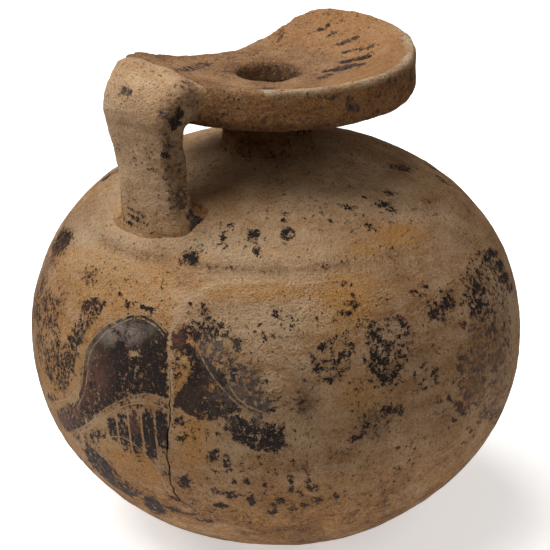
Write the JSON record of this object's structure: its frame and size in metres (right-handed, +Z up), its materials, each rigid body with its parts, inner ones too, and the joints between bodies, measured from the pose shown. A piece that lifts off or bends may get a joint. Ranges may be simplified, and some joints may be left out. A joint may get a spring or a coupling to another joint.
{
  "type": "aryballos",
  "caption": "Hollow globular fired-clay oil flask with a short narrow neck, a broad dished mouth disc broken away on one side, and a strap handle.",
  "frame": {"origin": "on the body's axis, in the plane that the flask rests on", "axes": "+Z up along the body's axis; the handle stands on the -X side; the mouth disc has lost its +Y side"},
  "size_m": [0.115, 0.115, 0.1202],
  "materials": {
    "painted_clay": "matt fired clay with worn dark slip",
    "plain_clay": "matt fired clay",
    "handle_clay": "matt fired clay, worn"
  },
  "bodies": {
    "root": {"body_shell": "painted_clay", "rejoined_sherd": "painted_clay", "neck_collar": "plain_clay", "neck_luting": "plain_clay", "mouth_disc": "plain_clay", "strap_handle": "handle_clay", "handle_pad": "handle_clay"}
  },
  "joints": []
}
